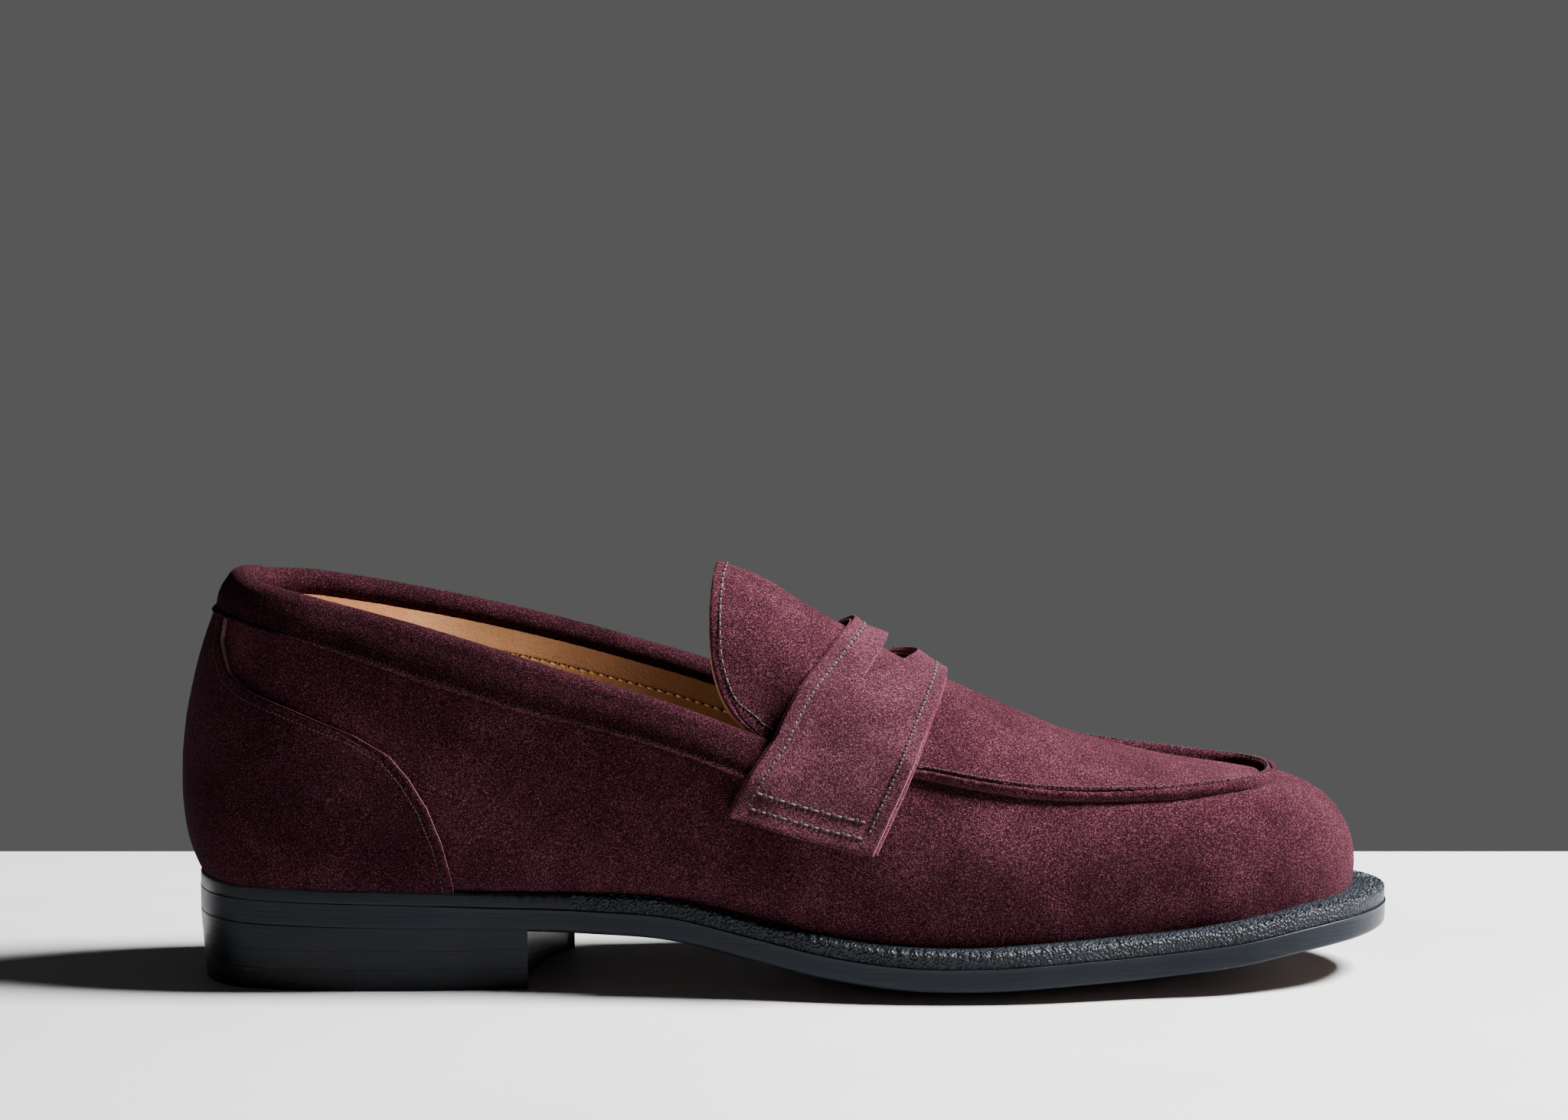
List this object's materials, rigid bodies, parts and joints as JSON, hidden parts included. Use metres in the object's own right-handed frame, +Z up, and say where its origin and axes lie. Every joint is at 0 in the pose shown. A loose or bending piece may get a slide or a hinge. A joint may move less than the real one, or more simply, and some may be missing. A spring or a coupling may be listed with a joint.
{
  "type": "penny loafer",
  "caption": "Right slip-on shoe: suede upper with raised apron seam, saddle strap with a slot, rolled collar, welted leather sole and stacked heel.",
  "frame": {"origin": "on the ground under the middle of the shoe's footprint", "axes": "+X towards the toe, +Z up, -Y towards the outer side of the foot"},
  "size_m": [0.3064, 0.1003, 0.1038],
  "materials": {
    "suede": "napped calf suede, oxblood",
    "suede_dark": "napped calf suede, darker oxblood",
    "lining_leather": "smooth vegetable-tanned calf",
    "grip_suede": "brushed leather, flesh side out",
    "pad_foam": "leather-covered latex foam",
    "stiffener": "moulded leather board",
    "insole_leather": "oak-bark tanned bend",
    "canvas_rib": "glued canvas",
    "cork": "granulated cork and resin",
    "shank_steel": "spring steel strip",
    "black_leather": "wheeled and waxed",
    "sole_leather": "edge inked black, underside natural brown",
    "heel_leather": "stacked leather, edge inked black",
    "tip_rubber": "matt rubber",
    "brass_nail": "bare brass",
    "thread": "bonded polyester, dusty rose",
    "thread_dark": "bonded polyester, oxblood",
    "waxed_thread": "waxed linen, black",
    "tan_thread": "bonded polyester, sand"
  },
  "bodies": {
    "shoe": {"skirt": "suede", "apron": "suede", "heel_counter": "suede", "collar": "suede_dark", "strap": "suede", "strap_backing": "suede_dark", "tongue_root": "suede", "vamp_lining": "lining_leather", "quarter_lining_outer": "lining_leather", "quarter_lining_inner": "lining_leather", "heel_grip": "grip_suede", "toe_puff": "stiffener", "heel_stiffener": "stiffener", "insole": "insole_leather", "insole_rib": "canvas_rib", "sock": "lining_leather", "heel_pad": "pad_foam", "cork_filler": "cork", "shank": "shank_steel", "welt": "black_leather", "heel_rand": "black_leather", "outsole": "sole_leather", "heel_lift_1": "heel_leather", "heel_lift_2": "heel_leather", "top_piece": "heel_leather", "heel_tip": "tip_rubber", "heel_nails": "brass_nail", "counter_stitching": "thread", "collar_stitching": "thread", "strap_stitching": "thread", "apron_stitching": "thread_dark", "welt_stitching": "waxed_thread", "lining_stitching": "tan_thread"},
    "tongue": {"tongue": "suede", "tongue_lining": "lining_leather", "tongue_stitching": "thread"}
  },
  "joints": [
    {"name": "tongue_flex", "type": "hinge", "parent": "shoe", "child": "tongue", "pos_m": [0.005, 0, 0.0915], "axis": [0, 1, 0], "range_deg": [-8, 22], "stiffness_Nm_per_rad": 0.2}
  ]
}
